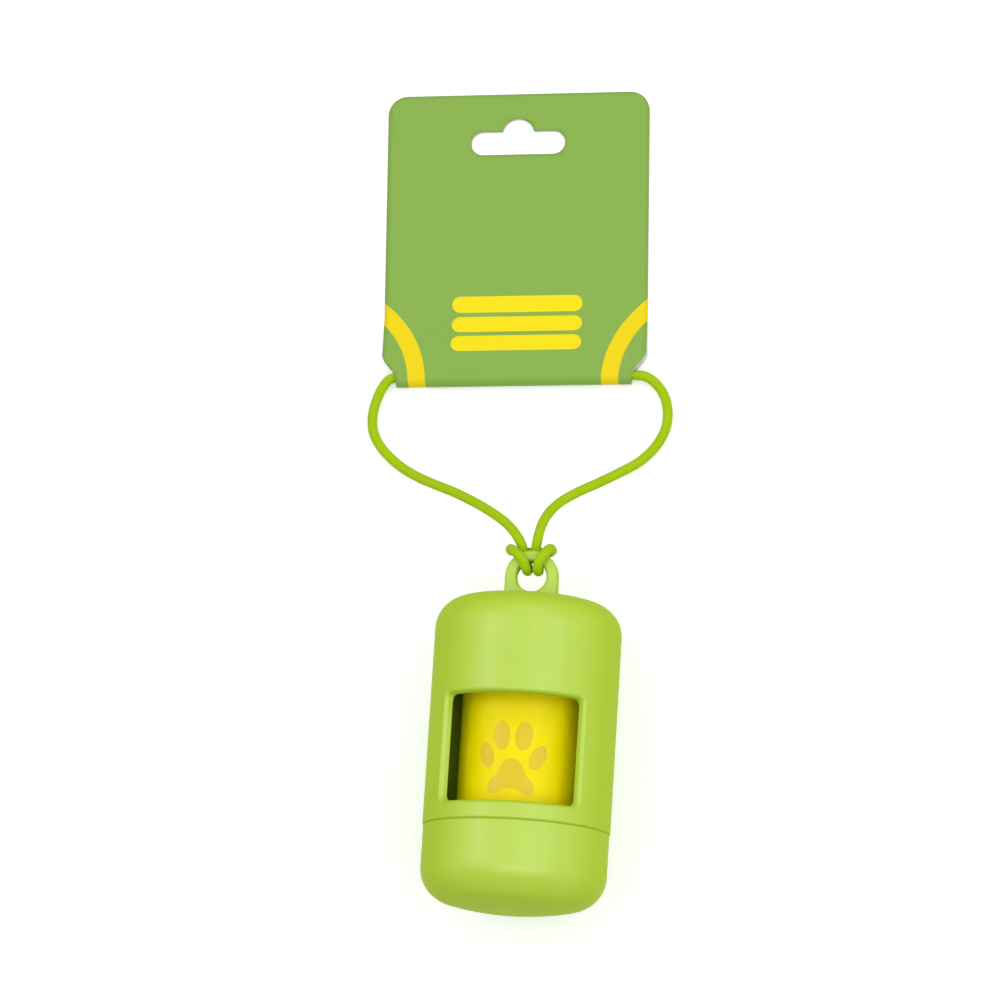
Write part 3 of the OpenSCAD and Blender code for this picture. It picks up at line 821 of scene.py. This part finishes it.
def make_card():
    """The header card: one printed sheet, cut out flat, folded over the loop and closed
    on itself. Its cut edges and its inside show the white board."""
    places, line = card_section()
    outline, slots = card_blank(places, line)
    rings = [fine_ring(ring) for ring in [outline] + slots]
    rows = np.unique(np.concatenate([
        np.arange(places[0], places[-1], CARD_GRID),
        np.linspace(-FOLD_ROWS_WITHIN, FOLD_ROWS_WITHIN, FOLD_ROWS)]))
    columns = np.arange(-CARD_W / 2, CARD_W / 2, CARD_GRID)
    inner = np.array([(u, s) for s in rows for u in columns])
    for ring in rings:
        inner = inner[clear_of(inner, ring, EDGE_CLEARANCE)]
    flat, edges = [], []
    for ring in rings:
        first = len(flat)
        flat += ring
        edges += [(first + k, first + (k + 1) % len(ring)) for k in range(len(ring))]
    flat += [tuple(p) for p in inner]
    in_mm = [Vector(p) * MM_IN_M for p in flat]
    cut = geometry.delaunay_2d_cdt(in_mm, edges, [], CUT_INSIDE, CUT_JOINS)
    flat = np.array([tuple(p) for p in cut[0]]) / MM_IN_M
    triangles = [tuple(f) for f in cut[2]
                 if not any(inside(flat[list(f)].mean(axis=0), slot) for slot in slots)]

    def section_at(along):
        return np.stack([np.interp(along, places, line[:, k]) for k in (0, 1)], axis=1)

    s = flat[:, 1]
    middle = section_at(s)
    tangent = section_at(s + TANGENT_STEP) - section_at(s - TANGENT_STEP)
    tangent /= np.linalg.norm(tangent, axis=1)[:, None]
    normal = np.stack([-tangent[:, 1], tangent[:, 0]], axis=1)
    points = []
    for side in (0.5, -0.5):
        section = middle + side * CARD_PLY * normal
        place = (FOLD_CENTRE + flat[:, :1] * FOLD_ALONG + section[:, :1] * CARD_UP
                 + (section[:, 1:] - FOLD_R) * np.array([0, 0, 1]))
        points += list(place)
    count = len(flat)
    faces = list(triangles) + [tuple(count + k for k in reversed(f)) for f in triangles]
    directed = {(f[k], f[(k + 1) % 3]) for f in triangles for k in range(3)}
    rim = [(a, b) for a, b in sorted(directed) if (b, a) not in directed]
    faces += [(count + a, count + b, b, a) for a, b in rim]
    uvs = [flat[k % count] for f in faces for k in f]
    card = add_mesh("folded_card", points, faces, uvs)
    printed = len(triangles)
    smooth = [k < 2 * printed for k in range(len(faces))]
    unprinted = [int(k >= printed) for k in range(len(faces))]
    card.data.polygons.foreach_set("use_smooth", smooth)
    dress(card, card_print(), "card", ["header_card"])
    card.data.materials.append(white_board())
    card.data.polygons.foreach_set("material_index", unprinted)


# ---------------------------------------------------------------- screw threads

THREAD_PITCH = mm(3)
THREAD_TURNS = 1.5
THREAD_ROOT = mm(0.9)
THREAD_CREST = mm(0.35)
THREAD_RUN_OUT = math.radians(25)
THREAD_LEAST_RISE = 0.03
THREAD_SUNK = mm(0.15)
THREAD_STEPS = 200

# Wall radius, crest radius, and how far on the cap's side of the seam the thread begins
NECK_THREAD = mm(20.2, 20.55, 6.9)
CAP_THREAD = mm(21, 20.65, 7.4)


def make_thread(name, body, slot, material, wall_r, crest_r, from_seam):
    """A ridge that winds round a wall, run out at both ends. crest_r is inside the wall
    for an inner thread."""
    sweep = 2 * math.pi * THREAD_TURNS
    sunk_r = wall_r - math.copysign(THREAD_SUNK, crest_r - wall_r)
    first_y = SEAM_Y - from_seam
    rings = []
    for a in np.linspace(0, sweep, THREAD_STEPS):
        rise = min(1, a / THREAD_RUN_OUT, (sweep - a) / THREAD_RUN_OUT)
        top_r = sunk_r + (crest_r - sunk_r) * max(THREAD_LEAST_RISE, rise)
        y = first_y + THREAD_PITCH * a / (2 * math.pi)
        profile = [(sunk_r, -THREAD_ROOT), (top_r, -THREAD_CREST),
                   (top_r, THREAD_CREST), (sunk_r, THREAD_ROOT)]
        if crest_r < wall_r:
            profile.reverse()
        rings.append([(r * math.cos(a), y + dy, AXIS_Z + r * math.sin(a))
                      for r, dy in profile])
    thread = loft(name, rings)
    thread.data.polygons.foreach_set("use_smooth", [False] * len(thread.data.polygons))
    dress(thread, material, body)


# ---------------------------------------------------------------- seam

# The ridge's section: radius, and how far on the housing's side of the seam
LIP_PROFILE = [
    mm(21.4, 0.02), mm(22.7, 0.02), mm(22.7, -0.07), mm(22.66, -0.1), mm(21.4, -0.1),
]
LIP_STEPS = 180


def make_seam_lip(material):
    """A low ridge round the housing's shoulder, which the cap's rim nearly meets."""
    turns = np.linspace(0, 2 * math.pi, LIP_STEPS, endpoint=False)
    points = [(r * math.cos(a), SEAM_Y + y, AXIS_Z + r * math.sin(a))
              for a in turns for r, y in LIP_PROFILE]
    sides = len(LIP_PROFILE)
    faces = []
    for i in range(LIP_STEPS):
        here, there = i * sides, (i + 1) % LIP_STEPS * sides
        for k in range(sides):
            after = (k + 1) % sides
            faces.append((here + k, there + k, there + after, here + after))
    lip = add_mesh("seam_lip", points, faces, smooth=False)
    dress(lip, material, "housing")


# ---------------------------------------------------------------- light and floor

FLOOR_SIZE = 12.0
FLOOR_GREYS = colour(0.78, 0.78, 0.78), colour(0.82, 0.82, 0.82)
FLOOR_GLOW = 0.42, 1.0
GLOW_REACH = 0.3, 2.2
WORLD_FILL = 0.28
LIT_POINT = Vector(mm(0, 20, 20))
LIGHT_DISTANCE = 1.5

# Name, lean to +X and towards +Y in degrees, width, depth, and how bright its face is
SOFTBOXES = [
    ("softbox_1", -55, 9, 0.55, 0.85, 1.15),
    ("softbox_2", -38, 9, 0.25, 0.85, 2.7),
    ("softbox_3", -20, 9, 0.65, 0.85, 0.95),
    ("softbox_4", 3, 9, 0.5, 0.85, 0.7),
    ("softbox_5", 34, 9, 1.25, 0.85, 1.35),
    ("near_left", -28, -18, 1.0, 0.55, 0.6),
    ("near_middle", 3, -18, 0.65, 0.55, 2.15),
    ("near_right", 34, -18, 1.0, 0.55, 1.85),
    ("far_middle", 4, 46, 1.6, 0.5, 1.35),
    ("side_left", -72, 0, 0.6, 1.6, 0.3),
    ("side_right", 74, 0, 0.6, 1.6, 0.8),
]


def white_when_seen(tree):
    """1 for a ray from the camera, a reflection or a refraction, and 0 for other rays."""
    seen = tree.nodes.new("ShaderNodeLightPath").outputs
    total = seen["Is Camera Ray"]
    for other in ("Is Glossy Ray", "Is Transmission Ray"):
        larger = tree.nodes.new("ShaderNodeMath")
        larger.operation = "MAXIMUM"
        tree.links.new(total, larger.inputs[0])
        tree.links.new(seen[other], larger.inputs[1])
        total = larger.outputs[0]
    return total


def make_floor():
    """A plain pale floor. Seen directly or in a reflection it is white, and it keeps
    the object's shadow."""
    half = FLOOR_SIZE / 2
    corners = [(-half, -half, 0), (half, -half, 0), (half, half, 0), (-half, half, 0)]
    floor = add_mesh("floor", corners, [(0, 1, 2, 3)], smooth=False)
    g = Graph("pale_floor")
    speckle = g.noise(g.object_point(), 300, 3)
    far = g.vector("LENGTH", g.object_point()).outputs["Value"]
    glow = g.spread(far, *GLOW_REACH, *FLOOR_GLOW, smooth=True)
    glow = g.math("MULTIPLY", white_when_seen(g.tree), glow)
    g.finish(Base_Color=g.mix(speckle, *FLOOR_GREYS), Roughness=0.9,
             Specular_IOR_Level=0.0, Emission_Color=WHITE, Emission_Strength=glow)
    floor.data.materials.append(g.material)


def make_world():
    """White where it is seen, and a dim even fill as light."""
    world = bpy.data.worlds.new("studio")
    world.use_nodes = True
    tree = world.node_tree
    shade = tree.nodes["Background"]
    shade.inputs["Color"].default_value = WHITE
    level = tree.nodes.new("ShaderNodeMapRange")
    tree.links.new(white_when_seen(tree), level.inputs["Value"])
    level.inputs["To Min"].default_value = WORLD_FILL
    tree.links.new(level.outputs[0], shade.inputs["Strength"])
    bpy.context.scene.world = world


def add_softbox(name, lean, ahead, width, depth, radiance):
    """A large lamp that looks at the object and isn't seen itself. It stands lean
    degrees to the side of straight above, and ahead degrees towards +Y."""
    lamp = bpy.data.lights.new(name, "AREA")
    lamp.shape = "RECTANGLE"
    lamp.size, lamp.size_y = width, depth
    lamp.energy = radiance * math.pi * width * depth
    box = bpy.data.objects.new(name, lamp)
    box.visible_camera = False
    lean, ahead = math.radians(lean), math.radians(ahead)
    back = Vector((math.sin(lean) * math.cos(ahead), math.sin(ahead),
                   math.cos(lean) * math.cos(ahead)))
    along = (Vector((0, 1, 0)) - back * back.y).normalized()
    turned = Matrix((along.cross(back), along, back)).transposed().to_4x4()
    box.matrix_world = Matrix.Translation(LIT_POINT + back * LIGHT_DISTANCE) @ turned
    bpy.context.scene.collection.objects.link(box)


def make_studio():
    """The floor, the white surroundings and the lamps."""
    make_floor()
    make_world()
    for softbox in SOFTBOXES:
        add_softbox(*softbox)
    bpy.context.scene.view_settings.view_transform = "Standard"


# ---------------------------------------------------------------- the object

make_camera()
cord, sleeve, cord_line, cord_length = make_cord()
plastic = moulded_plastic()
dress(frame["nodes"]["housing"], plastic)
dress(frame["nodes"]["end_cap"], plastic)
shade_evenly([frame["nodes"][name] for name in ("housing", "end_cap")])
dress(frame["nodes"]["roll_core"], core_board())
printed_film, plain_film = bag_film(True), bag_film(False)
for bag_number in range(1, len(BAGS) + 1):
    make_bag(bag_number, printed_film if bag_number == 1 else plain_film)
make_card()
make_seam_lip(plastic)
make_thread("neck_thread", "housing", "housing_plastic", plastic, *NECK_THREAD)
make_thread("cap_thread", "cap", "cap_plastic", plastic, *CAP_THREAD)
make_studio()
